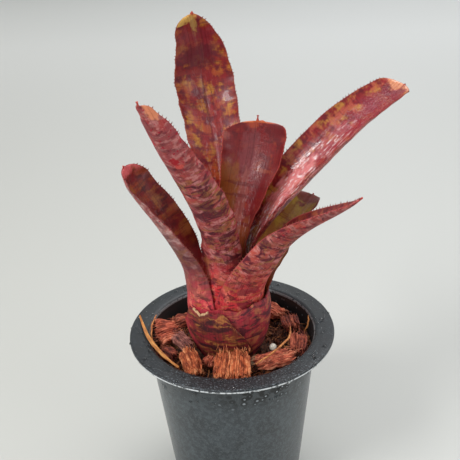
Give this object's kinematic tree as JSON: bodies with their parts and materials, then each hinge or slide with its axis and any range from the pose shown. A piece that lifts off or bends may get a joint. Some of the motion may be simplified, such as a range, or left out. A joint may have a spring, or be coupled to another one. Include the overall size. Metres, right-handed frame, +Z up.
{
  "type": "potted bromeliad",
  "caption": "Young mottled red bromeliad with long channelled toothed leaves, in a round tapered nursery pot filled with pine-bark chips.",
  "frame": {"origin": "centre of the pot's flat underside, on the surface that the pot stands on", "axes": "+Z up along the pot's axis; the plant's broad front faces -Y and its long leaf points to +X"},
  "size_m": [0.1185, 0.0931, 0.2082],
  "materials": {
    "pot_plastic": "wet black plastic, fine grain",
    "bark_mix": "damp bark crumbs",
    "roots": "fibrous",
    "stem_core": "woody stem",
    "leaf_maroon": "glossy mottled leaf",
    "leaf_rose": "satin scurfy leaf underside",
    "leaf_dark": "satin dark leaf",
    "leaf_olive": "satin olive leaf",
    "sheath_red": "satin banded sheath",
    "sheath_brown": "dull old sheath",
    "bark_chip": "split pine bark",
    "dry_fibre": "dry straw-coloured fibre",
    "prill_coat": "satin coated bead"
  },
  "bodies": {
    "root": {"pot": "pot_plastic", "growing_mix": "bark_mix", "root_ball": "roots", "stem": "stem_core", "leaf_back_tall": "leaf_maroon", "leaf_front_left": "leaf_rose", "leaf_far_left": "leaf_dark", "leaf_centre_cup": "leaf_maroon", "leaf_right_long": "leaf_maroon", "leaf_right_front": "leaf_rose", "leaf_back_right": "leaf_olive", "leaf_heart": "leaf_olive", "old_sheath_smooth": "sheath_red", "old_sheath_torn": "sheath_brown", "chip_fan": "bark_chip", "chip_long_left": "bark_chip", "chip_low_left": "bark_chip", "chip_crumbly": "bark_chip", "chip_small_front": "bark_chip", "chip_front": "bark_chip", "chip_wedge": "bark_chip", "chip_right": "bark_chip", "chip_right_back": "bark_chip", "chip_back_right": "bark_chip", "chip_back": "bark_chip", "chip_back_left": "bark_chip", "chip_left_back": "bark_chip", "fibre_left_arc": "dry_fibre", "fibre_front_long": "dry_fibre", "fibre_right": "dry_fibre", "dry_sliver": "dry_fibre", "feed_prill": "prill_coat"}
  },
  "joints": []
}
